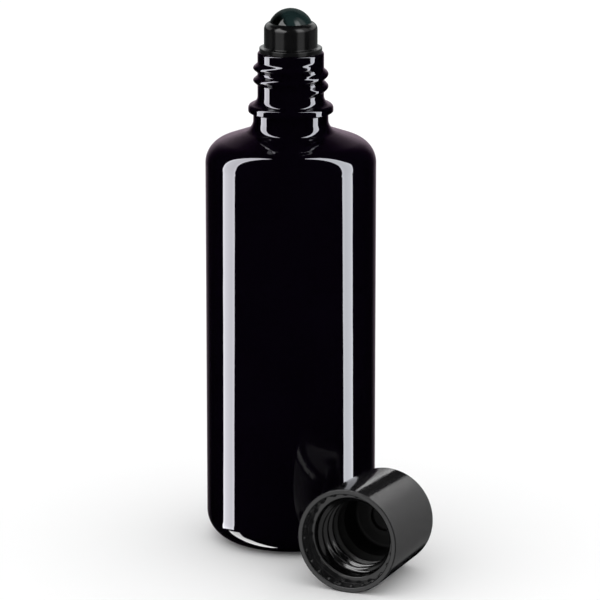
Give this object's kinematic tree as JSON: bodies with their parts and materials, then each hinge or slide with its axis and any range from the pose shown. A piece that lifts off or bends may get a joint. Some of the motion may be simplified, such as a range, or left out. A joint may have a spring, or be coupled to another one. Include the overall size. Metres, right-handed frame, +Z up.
{
  "type": "roll on bottle",
  "caption": "Cylindrical dark glass bottle with a screw neck, a ball held in a pressed-in roller housing, and its screw cap lying in front of it.",
  "frame": {"origin": "centre of the standing ring under the bottle, on the surface that the bottle and the cap rest on", "axes": "+Z up along the bottle's axis; the cap lies in front of the bottle (-Y) and a little to its right (+X), with its mouth towards the front"},
  "size_m": [0.0544, 0.0707, 0.1308],
  "materials": {
    "violet_glass": "gloss, near-black violet glass that looks opaque",
    "housing_plastic": "satin black moulded plastic",
    "ball_glass": "polished dark green-black glass",
    "cap_plastic": "smooth black moulded plastic, softly glossy"
  },
  "bodies": {
    "bottle": {"glass_bottle": "violet_glass", "roller_housing": "housing_plastic"},
    "ball": {"roller_ball": "ball_glass"},
    "cap": {"screw_cap": "cap_plastic"}
  },
  "joints": [
    {"name": "ball_roll", "type": "hinge", "parent": "bottle", "child": "ball", "pos_m": [0, 0, 0.12532], "axis": [1, 0, 0], "continuous": true},
    {"name": "cap_lift", "type": "slide", "parent": "bottle", "child": "cap", "axis": [0, 0, 1], "range_m": [0, 0.135]}
  ]
}
